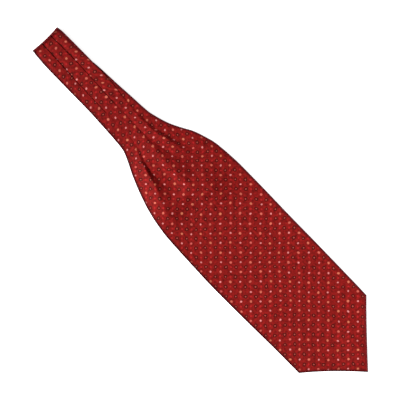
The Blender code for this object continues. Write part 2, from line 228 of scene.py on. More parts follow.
MIDDLE_PLEAT = (
    Pleat(0, 7.4, 10.2, 1.3, 0.0),
    Pleat(35, 8.4, 10.2, 1.3, 0.0),
    Pleat(84, 7.6, 5.5, 0.94, 0.0),
    Pleat(110, 6.6, 1.5, 0.9, 0.0),
    Pleat(135, 5.2, -2.0, 0.4, 0.0),
    Pleat(150, 4.4, -2.5, 0.3, 0.0),
    Pleat(168, 3.6, -3.0, 0.5, 0.0),
    Pleat(183, 3.4, -2.8, 1.1, 0.0),
    Pleat(198, 3.6, -5.0, 1.6, 0.0),
    Pleat(211, 3.4, -6.0, 2.9, 0.1),
    Pleat(224, 2.2, -10.5, 5.0, 0.8),
    Pleat(238, 1.2, -15.0, 6.5, 1.6),
    Pleat(251, 1.0, -18.0, 6.8, 1.6),
    Pleat(262, 1.4, -18.0, 6.7, 1.8),
    Pleat(270, 3.0, -16.0, 6.3, 2.5),
    Pleat(278, 5.0, -14.0, 5.6, 3.4),
    Pleat(286, 7.0, -13.0, 4.6, 4.0),
    Pleat(296, 8.0, -13.0, 3.2, 3.1),
    Pleat(308, 8.0, -14.0, 1.9, 1.9),
    Pleat(320, 8.0, -15.0, 1.0, 1.0),
    Pleat(340, 8.0, -16.0, 0.0, 0.0),
)
RIGHT_PLEAT = (
    Pleat(0, 21.7, 8.0, 1.3, 0.0),
    Pleat(10, 23.3, 8.0, 1.3, 0.0),
    Pleat(35, 23.7, 8.0, 1.3, 0.0),
    Pleat(75, 24.0, 6.0, 1.1, 0.0),
    Pleat(107, 22.6, 3.0, 0.94, 0.0),
    Pleat(135, 19.6, -1.5, 0.5, 0.0),
    Pleat(150, 18.0, -2.5, 0.8, 0.0),
    Pleat(165, 17.2, -3.0, 1.5, 0.0),
    Pleat(183, 18.0, -3.2, 2.4, 0.0),
    Pleat(198, 20.6, -3.6, 3.4, 0.0),
    Pleat(211, 24.4, -3.4, 4.0, 0.0),
    Pleat(224, 27.2, -4.6, 2.9, 0.0),
    Pleat(238, 31.0, -8.0, 1.4, 0.4),
    Pleat(252, 36.0, -10.0, 0.9, 0.6),
    Pleat(270, 44.0, -12.0, 0.7, 0.6),
    Pleat(296, 48.0, -12.0, 0.6, 0.5),
    Pleat(308, 50.0, -12.0, 0.4, 0.4),
    Pleat(330, 50.0, -12.0, 0.0, 0.0),
)
PLEATS = (LEFT_PLEAT, MIDDLE_PLEAT, RIGHT_PLEAT)

# How each strip rises or falls between its pleats, from the left edge to the right one: 1 is evenly along its
# width, less is early and then level, and more keeps the change for its end. The crest is how far the silk
# runs level before the middle pleat's edge.
Rise = namedtuple("Rise", "along first second third last crest")
RISES = (
    Rise(0, 1.0, 0.8, 0.8, 1.0, 0.0),
    Rise(60, 1.0, 0.7, 0.7, 1.0, 0.0),
    Rise(100, 1.0, 0.3, 0.3, 1.0, 0.0),
    Rise(150, 1.2, 0.4, 0.4, 1.5, 0.0),
    Rise(183, 1.5, 0.6, 0.6, 3.0, 2.0),
    Rise(198, 1.5, 0.6, 0.7, 3.0, 4.0),
    Rise(211, 1.4, 0.7, 1.0, 3.0, 5.0),
    Rise(224, 1.5, 1.9, 1.3, 3.0, 4.0),
    Rise(238, 1.3, 3.2, 1.2, 3.0, 1.5),
    Rise(251, 1.1, 3.8, 1.0, 3.0, 0.3),
    Rise(264, 0.9, 3.2, 1.0, 3.0, 0.3),
    Rise(280, 1.0, 2.0, 1.0, 3.0, 2.0),
)

# Soft folds and small creases, each along a line bent between three places (along, across). A height
# below zero is a trough. The lower the fade, the sooner a fold has its whole height.
FOLD_FADE = 0.6
Fold = namedtuple("Fold", "name start middle end height reach")
FOLDS = (
    Fold("end of the left puff", (270, -44), (279, -24), (286, -6), 1.6, 8.0),
    Fold("dark slope before the crease", (299, -46), (300, -22), (299, -3), -0.7, 6.0),
    Fold("swell before the crease", (268, 21), (292, 23), (334, 24), 2.2, 19.0),
    Fold("hollow beside the left puff", (216, -9), (246, -8), (282, -12), -1.8, 10.0),
    Fold("crisp crease across the blade", (297, -42), (299, 0), (298, 45), 0.9, 2.0),
    Fold("lip of the blade", (296, -54), (303, -8), (299, 46), 0.7, 5.5),
    Fold("roll of the left side", (196, -26), (230, -37), (276, -52), 0.6, 8.0),
    Fold("roll of the right shoulder", (228, 42), (252, 53), (280, 65), 1.2, 4.0),
    Fold("nick by the right edge", (246, 58), (252, 56), (258, 52), -0.5, 2.0),
    Fold("second nick by the right edge", (262, 66), (267, 62), (272, 56), -0.4, 2.2),
    Fold("streak in the right slope", (230, 24), (250, 33), (278, 44), 0.4, 2.8),
    Fold("short streak beside the ridge", (254, 9), (266, 12), (280, 15), 0.35, 2.4),
    Fold("roll at the right of the neck", (4, 22.6), (26, 23.8), (56, 23.6), -1.1, 2.6),
    Fold("ripple towards the point", (430, -58), (500, -30), (560, -34), 0.9, 16.0),
    Fold("lift of the point", (560, 26), (590, 8), (612, 2), 1.2, 16.0),
)

# How thick the hidden back half is in the middle and at its edge, which is what the front half lies on.
Thickness = namedtuple("Thickness", "along crown rim")
BACK_THICKNESS = (
    Thickness(0, 3.8, 3.8),
    Thickness(40, 3.8, 3.8),
    Thickness(165, 3.9, 3.2),
    Thickness(200, 4.6, 2.4),
    Thickness(240, 4.2, 1.7),
    Thickness(285, 2.2, 1.3),
    Thickness(318, 1.2, 1.2),
    Thickness(620, 1.2, 1.2),
)

# The fold of the neck: both halves turn about one line across the cravat. The silk that shows turns at one
# distance from it, and its edge there is a little hollow in the middle.
FOLD_AXIS_ALONG = 3.95
FOLD_OUTER = 3.3
FOLD_HOLLOW = 1.2
FOLD_HOLLOW_FADE = 20.0

# How a strip of silk goes from one pleat to the next: it has risen a little before the next pleat's tuck, and
# comes into view over a short way. A pleat counts as open where the silk turns less than the first angle over
# its edge, in degrees, and as closed where it turns more than the second.
LEAST_RAMP = 0.5
RAMP_BEFORE_TUCK = 1.0
SHOWN_WITHIN = 3.0
TURN_SHOWN_SHARE = 1 / 6
OPEN_TURN = 60
CLOSED_TURN = 120

# How finely the silk is divided across, along and, in degrees, round its border, and how many points its own
# lines are worked out at.
HIDDEN_STEPS = 4
HIDDEN_SHARES = (0.25, 0.75)
SHOWN_STEPS = 20
CENTRE_STEPS = 7
CIRCLE_STEPS = 5
FOLD_STEPS = 8
NECK_ROWS = 44
FLARE_ROWS = 108
BLADE_ROWS = 100
BORDER_TURNS = (45, 90, 135)
FOLD_LINE_POINTS = 41
STRIP_POINTS = 80
TURN_POINTS = 26

# The least that a step and a vector are taken to measure, so that none is zero.
LEAST_STEP = 1e-9
LEAST_LENGTH = 1e-12


def smooth(table, column, along):
    """A column of a table at a distance from the fold, from a curve that doesn't swing past its rows."""
    x = np.array([row.along for row in table], float)
    y = np.array([getattr(row, column) for row in table], float)
    slope = np.diff(y) / np.diff(x)
    before, after = slope[:-1], slope[1:]
    tangent = np.concatenate([slope[:1], np.zeros(len(x) - 2), slope[-1:]])
    same_way = before * after > 0
    tangent[1:-1][same_way] = (2 * before * after)[same_way] / (before + after)[same_way]
    at = np.clip(along, x[0], x[-1])
    k = np.clip(np.searchsorted(x, at) - 1, 0, len(x) - 2)
    step = x[k + 1] - x[k]
    t = (at - x[k]) / step
    from_start = (1 + 2 * t) * (1 - t) ** 2 * y[k] + t * (1 - t) ** 2 * step * tangent[k]
    from_end = t * t * (3 - 2 * t) * y[k + 1] + t * t * (t - 1) * step * tangent[k + 1]
    return from_start + from_end


def eased(value):
    """0 below 0, 1 above 1, and a smooth rise between."""
    t = np.clip(value, 0.0, 1.0)
    return t * t * (3 - 2 * t)


def back_thickness(along, across):
    """Height of the back half's upper side, which carries the front half."""
    along, across = np.asarray(along, float), np.asarray(across, float)
    crown, rim = (smooth(BACK_THICKNESS, name, along) for name in ("crown", "rim"))
    left, right = (smooth(OUTLINE, name, along) for name in ("left", "right"))
    share = across / np.where(across < 0, left, right)
    return rim + (crown - rim) * np.clip(1 - share**2, 0, 1)


def fold_height(fold, along, across):
    """Height that one soft fold or crease adds at a place."""
    t = np.linspace(0, 1, FOLD_LINE_POINTS)[:, None]
    start, middle, end = (np.array(place, float) for place in (fold.start, fold.middle, fold.end))
    line = (1 - t) ** 2 * start + 2 * t * (1 - t) * middle + t**2 * end
    away = np.hypot(along[:, None] - line[:, 0], across[:, None] - line[:, 1])
    nearest = away.argmin(1)
    fade = np.sin(pi * t[:, 0]) ** FOLD_FADE
    return fold.height * fade[nearest] * np.exp(-((away.min(1) / fold.reach) ** 2))


def soft_folds(along, across):
    """Height that all the front half's folds add at a place."""
    return sum(fold_height(fold, along, across) for fold in FOLDS)


def fold_axis_height():
    """Height of the line that both halves turn about at the fold of the neck."""
    return float(back_thickness(FOLD_AXIS_ALONG, 0.0)) + GAP / 2


def pleat_turn(edge, tuck, top, under):
    """The silk's line over a pleat's edge, back beneath it and round the inner fold, as (across, height).

    Two circles of one radius, at the edge and at the inner fold, are joined by the line that touches both.
    It gives a flat pressed pleat, and an open slope once the tuck is below zero. The second result is how
    far the silk turns.
    """
    radius = max(LAYER / 2, (top - under) / 4)
    step_across = 2 * radius - tuck
    step_up = 2 * radius - (top - under)
    towards = atan2(step_across, step_up) % (2 * pi)
    turn = max(0.0, towards - acos(min(1.0, 2 * radius / hypot(step_across, step_up))))
    angle = np.linspace(0, turn, TURN_POINTS)
    outwards, upwards = radius * np.sin(angle), radius * np.cos(angle)
    over = np.stack([edge - radius + outwards, top - radius + upwards], 1)
    back = np.stack([edge - tuck + radius - outwards, under + radius - upwards], 1)
    return np.concatenate([over, back[::-1]]), turn


def strip(start, end, ramp_start, ramp_end, low, high, lateness):
    """A stretch of silk from one pleat to the next, rising or falling between two places."""
    across = np.linspace(start, end, STRIP_POINTS)
    ramp_end = max(ramp_end, ramp_start + LEAST_RAMP)
    share = np.clip((across - ramp_start) / (ramp_end - ramp_start), 0, 1)
    height = low + (high - low) * share**lateness
    shown = eased((across - ramp_start) / SHOWN_WITHIN) if ramp_start > start else np.ones(STRIP_POINTS)
    return np.stack([across, height, shown], 1)


def strip_columns(points, ramp_start, steps):
    """A strip's columns: a few where it is hidden under the pleat before it, and the rest where it shows."""
    start, end = points[0, 0], points[-1, 0]
    least, most = (start + share * (end - start) for share in HIDDEN_SHARES)
    knot = min(max(ramp_start, least), most)
    hidden, shown = np.linspace(start, knot, HIDDEN_STEPS + 1), np.linspace(knot, end, steps + 1)
    return np.concatenate([hidden, shown[1:]])


def at_columns(points, across):
    """A strip's points at chosen places across."""
    return np.stack([across, *(np.interp(across, points[:, 0], points[:, k]) for k in (1, 2))], 1)


def turn_columns(turned, closed):
    """A turn at its columns: equal steps round each of its circles, or all along it once it is open."""
    steps = np.diff(turned[:, :2], axis=0)
    length = np.concatenate([[0], np.cumsum(np.hypot(steps[:, 0], steps[:, 1]) + LEAST_STEP)])
    over = np.linspace(0, TURN_POINTS - 1, CIRCLE_STEPS + 1)
    round_circles = np.interp(np.concatenate([over, over + TURN_POINTS]), np.arange(len(turned)), length)
    evenly = np.linspace(0, length[-1], 2 * CIRCLE_STEPS + 2)
    stations = closed * round_circles + (1 - closed) * evenly
    return np.stack([np.interp(stations, length, turned[:, k]) for k in range(3)], 1)


def silk_section(along):
    """The front half cut across at one place, as (across, height, shown) at each column of its mesh.

    Shown is 1 on silk that can be seen and 0 where it is hidden in a pleat. One column always lies on the
    line through the point.
    """
    left, right = smooth(OUTLINE, "left", along), smooth(OUTLINE, "right", along)
    right = right - smooth(HIDDEN_EDGE, "depth", along)
    *rises, crest = (float(smooth(RISES, name, along)) for name in Rise._fields[1:])
    stretches = []
    start, ramp_start, low = -left, -left, 0.0
    for table, lateness in zip(PLEATS, rises):
        edge, tuck, top, under = (float(smooth(table, name, along)) for name in Pleat._fields[1:])
        turned, turn = pleat_turn(edge, tuck, top, under)
        end = turned[0, 0]
        ramp_end = min(edge - tuck - RAMP_BEFORE_TUCK, end - (crest if table is MIDDLE_PLEAT else 0.0))
        rise = strip(start, end, ramp_start, ramp_end, low, top, lateness)
        across = strip_columns(rise, ramp_start, SHOWN_STEPS)
        if table is MIDDLE_PLEAT:
            to_point = rise[rise[:, 0] <= 0.0]
            across = strip_columns(to_point, ramp_start, SHOWN_STEPS - CENTRE_STEPS)
            across[-1] = 0.0
            across = np.concatenate([across, np.linspace(0.0, end, CENTRE_STEPS + 1)[1:]])
        stretches.append(at_columns(rise, across))
        closed = float(eased((turn - radians(OPEN_TURN)) / radians(CLOSED_TURN - OPEN_TURN)))
        shown = 1 - closed * np.clip(np.linspace(0, 1, len(turned)) / TURN_SHOWN_SHARE, 0, 1)
        stretches.append(turn_columns(np.column_stack([turned, shown]), closed))
        start, low = turned[-1, 0], under
        ramp_start = max(edge + SILK / 2 + 2 * GAP, start)
    last = strip(start, right, ramp_start, right, low, 0.0, rises[-1])
    stretches.append(at_columns(last, strip_columns(last, ramp_start, SHOWN_STEPS)))
    return np.concatenate([stretches[0]] + [stretch[1:] for stretch in stretches[1:]])


def point_edge(share, shoulder, hollow):
    """Distance from the fold to the pointed end, from the point (share 0) to a shoulder (share 1)."""
    return FOLDED_LENGTH + (shoulder - FOLDED_LENGTH) * share - hollow * 4 * share * (1 - share)


def blade_places(share, from_left, from_right, inset):
    """Places on the blade at shares of its half widths, moved in from its edges."""
    left_end = point_edge(from_left, LEFT_SHOULDER, LEFT_POINT_EDGE_HOLLOW)
    right_end = point_edge(from_right, RIGHT_SHOULDER, RIGHT_POINT_EDGE_HOLLOW)
    ends = np.concatenate([left_end, right_end]) - inset
    along = BLADE_START + (ends - BLADE_START) * share
    left = smooth(OUTLINE, "left", along[: len(from_left)]) - inset
    right = smooth(OUTLINE, "right", along[len(from_left) :]) - inset
    across = np.concatenate([-left * from_left, right * from_right])
    return np.column_stack([along, across])


def placed(along, across, height):
    """Points in metres in the cravat's own frame, with the fold's slight hollow."""
    share = across / smooth(OUTLINE, "right", along)
    dent = FOLD_HOLLOW * np.clip(1 - share**2, 0, 1) * np.exp(-np.abs(along) / FOLD_HOLLOW_FADE)
    y = FOLDED_LENGTH / 2 - along - dent
    return np.column_stack([across, y, height]) * MM


def outline_nearness(along, across):
    """How much painted shade the silk gets at the outline: 1 on the outline of the folded cravat as seen from
    above, and 0 from a short way inside it.
    """
    side = np.where(across < 0, smooth(OUTLINE, "left", along), smooth(OUTLINE, "right", along))
    share = np.clip(np.abs(across) / side, 0, 1)
    left_end = point_edge(share, LEFT_SHOULDER, LEFT_POINT_EDGE_HOLLOW)
    right_end = point_edge(share, RIGHT_SHOULDER, RIGHT_POINT_EDGE_HOLLOW)
    to_point = (np.where(across < 0, left_end, right_end) - along) * POINT_EDGE_SLANT
    to_fold = along - FOLD_AXIS_ALONG + FOLD_OUTER
    left_line, right_line = (smooth(EDGE_SHADES, name, along) for name in ("left", "right"))
    line = np.where(across < 0, left_line, right_line)
    from_side = np.minimum(side - np.abs(across), to_point) / line
    inside = np.minimum(from_side, to_fold / FOLD_LINE)
    return 1 - eased((inside - EDGE_SHADE_HOLD) / (1 - EDGE_SHADE_HOLD))


def front_grid():
    """The front half's middle surface from the seam at the fold to the point, row by row.

    The results are its points, how much each shows, and how much painted shade each gets near the outline.
    """
    section = silk_section(FOLD_AXIS_ALONG)
    inner = GAP / 2 + SILK / 2
    rows, shares, nearness = [], [], []

    def keep(along, across, height, shown):
        rows.append(placed(along, across, height))
        shares.append(shown)
        # How much painted shade each point gets at the outline.
        nearness.append(outline_nearness(along, across))

    for step in range(FOLD_STEPS):
        angle = pi / 2 * (1 - step / FOLD_STEPS)
        radius = inner + section[:, 1]
        radius = radius + section[:, 2] * (FOLD_OUTER - radius) * sin(angle)
        along = FOLD_AXIS_ALONG - radius * sin(angle)
        keep(along, section[:, 0], fold_axis_height() + radius * cos(angle), section[:, 2])
    neck = np.linspace(FOLD_AXIS_ALONG, FLARE_START, NECK_ROWS + 1)[:-1]
    flare = np.linspace(FLARE_START, BLADE_START, FLARE_ROWS + 1)
    for along in np.concatenate([neck, flare]):
        across, height, shown = silk_section(along).T
        place = np.full(len(across), along)
        height = np.maximum(height + shown * soft_folds(place, across), 0)
        keep(place, across, back_thickness(place, across) + GAP + SILK / 2 + height, shown)
    from_left = across[across <= 0.0] / across[0]
    from_right = across[across > 0.0] / across[-1]
    for row in range(1, BLADE_ROWS + 1):
        place, across = blade_places(row / BLADE_ROWS, from_left, from_right, 0.0).T
        height = np.maximum(soft_folds(place, across), 0)
        keep(place, across, back_thickness(place, across) + GAP + SILK / 2 + height, np.ones(len(place)))
    return np.array(rows), np.array(shares), np.array(nearness)


def unit(vectors):
    """Vectors at a length of one."""
    return vectors / np.maximum(np.linalg.norm(vectors, axis=-1, keepdims=True), LEAST_LENGTH)


def border(grid):
    """The outer points of a grid, once round."""
    return np.concatenate([grid[0], grid[1:, -1], grid[-1, -2::-1], grid[-2:0:-1, 0]])


def grid_faces(tall, wide):
    """The numbers of a grid's points, and the four at the corners of each face between them."""
    index = np.arange(tall * wide).reshape(tall, wide)
    corners = np.stack([index[:-1, :-1], index[1:, :-1], index[1:, 1:], index[:-1, 1:]], -1)
    return index, corners.reshape(-1, 4)


def cloth_piece(name, points, faces, places, edge):
    """A piece of cloth from parts of its points and faces, smooth and in the scene.

    Each point's place on the cloth, in metres, is kept as the UV map "cloth", and how much painted shade
    darkens it at the outline as the attribute "edge".
    """
    mesh = bpy.data.meshes.new(name)
    mesh.from_pydata(np.concatenate(points).tolist(), [], np.concatenate(faces).tolist())
    vertex_of_corner = np.zeros(len(mesh.loops), int)
    mesh.loops.foreach_get("vertex_index", vertex_of_corner)
    by_corner = np.concatenate(places)[vertex_of_corner]
    mesh.uv_layers.new(name="cloth").data.foreach_set("uv", by_corner.ravel())
    by_point = np.concatenate(edge).astype(np.float32)
    mesh.attributes.new("edge", "FLOAT", "POINT").data.foreach_set("value", by_point)
    mesh.shade_smooth()
    return in_scene(name, mesh)


def silk_shell(name, grid, print_places, swell, edge_shade):
    """A closed thin shell round a grid of points, thicker and rounded at its border.

    Swell is a grid of shares, 1 where the border is thickest. The print's places and the painted edge shade
    are grids as well.
    """
    down, side = np.gradient(grid, axis=0), np.gradient(grid, axis=1)
    normal = unit(np.cross(down, side))
    half = (SILK + EDGE_SWELL * swell[..., None]) * MM / 2
    upper, lower = grid + normal * half, grid - normal * half
    ring, ring_normal, ring_half = border(grid), border(normal), border(half)
    along_ring = unit(np.roll(ring, -1, axis=0) - np.roll(ring, 1, axis=0))
    outwards = unit(np.cross(ring_normal, along_ring))
    centre = ring - outwards * ring_half
    index, corners = grid_faces(*grid.shape[:2])
    points, faces = [upper.reshape(-1, 3), lower.reshape(-1, 3)], [corners, corners[:, ::-1] + index.size]
    loops = [border(index)]
    for turn in BORDER_TURNS:
        level = ring_normal * cos(radians(turn)) + outwards * (1 + sin(radians(turn)))
        loops.append(np.arange(len(ring)) + sum(len(part) for part in points))
        points.append(centre + level * ring_half)
    loops.append(border(index) + index.size)
    for near, far in zip(loops, loops[1:]):
        faces.append(np.stack([near, far, np.roll(far, -1), np.roll(near, -1)], -1))
    places = [print_places.reshape(-1, 2)] * 2 + [border(print_places)] * len(BORDER_TURNS)
    edge = [edge_shade.ravel()] * 2 + [border(edge_shade)] * len(BORDER_TURNS)
    return cloth_piece(name, points, faces, places, edge)


def step_lengths(grid):
    """Distances between the neighbouring points of a grid, across and along."""
    return (np.linalg.norm(np.diff(grid, axis=axis), axis=2) for axis in (1, 0))


def cloth_lengths(grid, first_row):
    """Where each point of a grid is on the silk laid flat: across from the middle and along, in metres.

    Up to the first row of the blade this is the length of the silk's own line across and along. The blade
    from there on lies flat, so its points keep their distances.
    """
    flat_x, flat_along = grid[first_row:, :, 0], FOLDED_LENGTH / 2 * MM - grid[first_row:, :, 1]
    across_steps, along_steps = step_lengths(grid[: first_row + 1])
    across = np.concatenate([np.zeros((first_row + 1, 1)), np.cumsum(across_steps, 1)], 1)
    along = np.concatenate([np.zeros((1, grid.shape[1])), np.cumsum(along_steps, 0)], 0)
    middle = np.abs(flat_x[0]).argmin()
    across = across - across[:, middle : middle + 1]
    along = along - along[-1] + flat_along[0]
    places = np.stack([across, along], -1)
    blade = np.stack([flat_x + (across[-1] - flat_x[0]), flat_along], -1)
    return np.concatenate([places[:-1], blade])


def near_border(grid, within):
    """1 at the sides and the end of a grid, falling to 0 at a distance from them in metres."""
    across_steps, along_steps = step_lengths(grid)
    from_left = np.concatenate([np.zeros((grid.shape[0], 1)), np.cumsum(across_steps, 1)], 1)
    from_right = from_left[:, -1:] - from_left
    to_end = np.concatenate([np.cumsum(along_steps[::-1], 0)[::-1], np.zeros((1, grid.shape[1]))], 0)
    nearest = np.minimum(np.minimum(from_left, from_right), to_end)
    return 1 - eased(nearest / within)


# front_edge_shade is how much painted shade darkens the silk at its outline.
front_points, front_shown, front_edge_shade = front_grid()
front = silk_shell(
    "front_half_silk",
    front_points,
    cloth_lengths(front_points, FOLD_STEPS + NECK_ROWS + FLARE_ROWS),
    near_border(front_points, EDGE_SWELL_WIDTH * MM) * front_shown,
    front_edge_shade,
)

# The silk's finish, shared by both halves. Its print is a neat foulard on a red ground: round spots in a
# square check, salmon and pale by turns, with a dark ring in the middle of each square and a small bright
# spot between every two spots of a column. The silk is a fine twill with a soft sheen.
PRINT_PITCH = 13.0
PRINT_TURN = 45.9
PRINT_START = (0.0, -0.12)

# How uneven the print is. Each scale counts waves in one step of the repeat.
SLOW_BEND_SCALE, SLOW_BEND = 0.22, 0.55
QUICK_BEND_SCALE, QUICK_BEND = 1.6, 0.16
INK_SCALE, INK_SPREAD, INK_LEAST = 1.1, 0.9, 0.55
DYE_SCALE, DYE_SPREAD, DYE_LEAST = 3.6, 2.2, -0.1
ROSE_SCALE, ROSE_SPREAD, ROSE_LEAST = 0.7, 3.0, -1.0

# The twill's ribs, the finer ribs that cross them, and the slubs in its threads.
TWILL_PITCH = 0.55
CROSS_RIBS = 3
CROSS_RIB_SHARE = 0.2
SLUB_SCALE = 0.15
RIB_STRENGTH = 0.15
RIB_HEIGHT = 0.05

# The drift of the sheen: streaks in a metre across and along, and how far they change the roughness.
STREAKS = (90.0, 14.0, 1.0)
STREAK_ROUGHNESS = 0.2
SILK_SPECULAR = 0.07


def wire(tree, *links):
    """Joins sockets, given as (source, target)."""
    for source, target in links:
        tree.links.new(source, target)


def new_group(name, inputs, outputs):
    """A shader node group with named sockets, given as (name, socket type, value)."""
    group = bpy.data.node_groups.new(name, "ShaderNodeTree")
    for label, kind, value in inputs:
        socket = group.interface.new_socket(label, in_out="INPUT", socket_type=kind)
        if value is not None:
            socket.default_value = value
    for label, kind in outputs:
        group.interface.new_socket(label, in_out="OUTPUT", socket_type=kind)
    return group, group.nodes.new("NodeGroupInput").outputs, group.nodes.new("NodeGroupOutput").inputs


def sums(tree, operation, first, second=None, third=None):
    """One Math node. Each operand is a socket or a number."""
    node = tree.nodes.new("ShaderNodeMath")
    node.operation = operation
    for socket, value in zip(node.inputs, (first, second, third)):
        if isinstance(value, (int, float)):
            socket.default_value = value
        elif value is not None:
            tree.links.new(value, socket)
    return node.outputs[0]


def mixed(tree, share, under, over):
    """One colour laid over another by a share."""
    node = tree.nodes.new("ShaderNodeMix")
    node.data_type = "RGBA"
    wire(tree, (share, node.inputs["Factor"]), (under, node.inputs["A"]), (over, node.inputs["B"]))
    return node.outputs["Result"]


def noise(tree, place, scale, detail=2.0):
    """Smooth random values of a place, as (value, colour)."""
    node = tree.nodes.new("ShaderNodeTexNoise")
    node.inputs["Scale"].default_value = scale
    node.inputs["Detail"].default_value = detail
    wire(tree, (place, node.inputs["Vector"]))
    return node.outputs["Fac"], node.outputs["Color"]


def pushed(tree, place, push, amount):
    """A place moved by a random colour, by about a fifth of the amount each way."""
    centred = tree.nodes.new("ShaderNodeVectorMath")
    centred.operation = "SUBTRACT"
    centred.inputs[1].default_value = (0.5, 0.5, 0.5)
    moved = tree.nodes.new("ShaderNodeVectorMath")
    moved.operation = "MULTIPLY_ADD"
    moved.inputs[1].default_value = (amount, amount, 0)
    wire(tree, (push, centred.inputs[0]), (centred.outputs[0], moved.inputs[0]), (place, moved.inputs[2]))
    return moved.outputs[0]


def scaled_colour(tree, colour, share):
    """A colour made lighter or darker by a number."""
    node = tree.nodes.new("ShaderNodeVectorMath")
    node.operation = "SCALE"
    wire(tree, (colour, node.inputs[0]), (share, node.inputs["Scale"]))
    return node.outputs[0]


def spot(tree, x, y, radius, blur):
    """1 inside a round spot centred on each whole step of x and y, with a soft edge."""
    from_x = sums(tree, "SUBTRACT", sums(tree, "FRACT", sums(tree, "ADD", x, 0.5)), 0.5)
    from_y = sums(tree, "SUBTRACT", sums(tree, "FRACT", sums(tree, "ADD", y, 0.5)), 0.5)
    squares = sums(tree, "MULTIPLY_ADD", from_x, from_x, sums(tree, "MULTIPLY", from_y, from_y))
    away = sums(tree, "SQRT", squares)
    node = tree.nodes.new("ShaderNodeMapRange")
    node.interpolation_type = "SMOOTHSTEP"
    node.inputs["To Min"].default_value = 1.0
    node.inputs["To Max"].default_value = 0.0
    wire(tree, (away, node.inputs["Value"]))
    wire(tree, (sums(tree, "SUBTRACT", radius, blur), node.inputs["From Min"]))
    wire(tree, (sums(tree, "ADD", radius, blur), node.inputs["From Max"]))
    return node.outputs["Result"]


foulard, printed, foulard_out = new_group(
    "foulard print",
    (
        ("Place", "NodeSocketVector", None),
        ("Ground", "NodeSocketColor", (0.210, 0.0072, 0.0062, 1)),
        ("Salmon", "NodeSocketColor", (0.54, 0.150, 0.075, 1)),
        ("Rose", "NodeSocketColor", (0.56, 0.095, 0.085, 1)),
        ("Pale", "NodeSocketColor", (0.66, 0.22, 0.21, 1)),
        ("Ring", "NodeSocketColor", (0.055, 0.003, 0.002, 1)),
        ("Ring Middle", "NodeSocketColor", (0.36, 0.060, 0.045, 1)),
        ("Pin Spot", "NodeSocketColor", (0.40, 0.012, 0.014, 1)),
        ("Salmon Radius", "NodeSocketFloat", 0.120),
        ("Pale Radius", "NodeSocketFloat", 0.092),
        ("Ring Radius", "NodeSocketFloat", 0.185),
        ("Ring Middle Radius", "NodeSocketFloat", 0.078),
        ("Pin Spot Radius", "NodeSocketFloat", 0.10),
        ("Blur", "NodeSocketFloat", 0.035),
    ),
    (("Color", "NodeSocketColor"),),
)
# The cloth's give bends the rows of the print a little, and the ink's edge wavers.
slow_push = noise(foulard, printed["Place"], SLOW_BEND_SCALE, 1.0)[1]
quick_push = noise(foulard, printed["Place"], QUICK_BEND_SCALE, 1.0)[1]
stretched = pushed(foulard, printed["Place"], slow_push, SLOW_BEND)
stretched = pushed(foulard, stretched, quick_push, QUICK_BEND)
split = foulard.nodes.new("ShaderNodeSeparateXYZ")
wire(foulard, (stretched, split.inputs[0]))
step_x, step_y = split.outputs["X"], split.outputs["Y"]
blur = printed["Blur"]
half_x, half_y = sums(foulard, "ADD", step_x, 0.5), sums(foulard, "ADD", step_y, 0.5)
check = sums(foulard, "ADD", sums(foulard, "FLOOR", half_x), sums(foulard, "FLOOR", half_y))
odd = sums(foulard, "GREATER_THAN", sums(foulard, "FRACT", sums(foulard, "MULTIPLY", check, 0.5)), 0.25)
even = sums(foulard, "SUBTRACT", 1.0, odd)
salmon = sums(foulard, "MULTIPLY", spot(foulard, step_x, step_y, printed["Salmon Radius"], blur), even)
pale = sums(foulard, "MULTIPLY", spot(foulard, step_x, step_y, printed["Pale Radius"], blur), odd)
ring = spot(foulard, half_x, half_y, printed["Ring Radius"], blur)
ring_middle = spot(foulard, half_x, half_y, printed["Ring Middle Radius"], blur)
pin = spot(foulard, half_x, step_y, printed["Pin Spot Radius"], blur)
# Each spot takes the ink a little differently, and the dye of the ground is mottled.
ink_waves = noise(foulard, printed["Place"], INK_SCALE, 3.0)[0]
uneven = sums(foulard, "MULTIPLY_ADD", ink_waves, INK_SPREAD, INK_LEAST)
dye_waves = noise(foulard, printed["Place"], DYE_SCALE, 4.0)[0]
mottled = sums(foulard, "MULTIPLY_ADD", dye_waves, DYE_SPREAD, DYE_LEAST)
colour = scaled_colour(foulard, printed["Ground"], mottled)
for share, ink in ((pin, "Pin Spot"), (ring, "Ring"), (ring_middle, "Ring Middle")):
    colour = mixed(foulard, share, colour, printed[ink])
rose_waves = noise(foulard, printed["Place"], ROSE_SCALE)[0]
rosier = sums(foulard, "MULTIPLY_ADD", rose_waves, ROSE_SPREAD, ROSE_LEAST)
warm = mixed(foulard, rosier, printed["Salmon"], printed["Rose"])
for share, ink in ((salmon, warm), (pale, printed["Pale"])):
    colour = mixed(foulard, share, colour, scaled_colour(foulard, ink, uneven))
wire(foulard, (colour, foulard_out["Color"]))

# The twill, as a height for the bump: fine ribs, which run along the cravat because the silk is cut on the
# bias, a little broken where threads are slubbed.
twill, woven, twill_out = new_group(
    "silk twill",
    (("Place", "NodeSocketVector", None), ("Slub", "NodeSocketFloat", 0.35)),
    (("Height", "NodeSocketFloat"),),
)
twill_split = twill.nodes.new("ShaderNodeSeparateXYZ")
wire(twill, (woven["Place"], twill_split.inputs[0]))
wave_x = sums(twill, "SINE", sums(twill, "MULTIPLY", twill_split.outputs["X"], 2 * pi))
wave_y = sums(twill, "SINE", sums(twill, "MULTIPLY", twill_split.outputs["Y"], CROSS_RIBS * 2 * pi))
rib = sums(twill, "MULTIPLY_ADD", wave_y, CROSS_RIB_SHARE, wave_x)
slub_height = sums(twill, "MULTIPLY", noise(twill, woven["Place"], SLUB_SCALE)[0], woven["Slub"])
wire(twill, (sums(twill, "ADD", rib, slub_height), twill_out["Height"]))
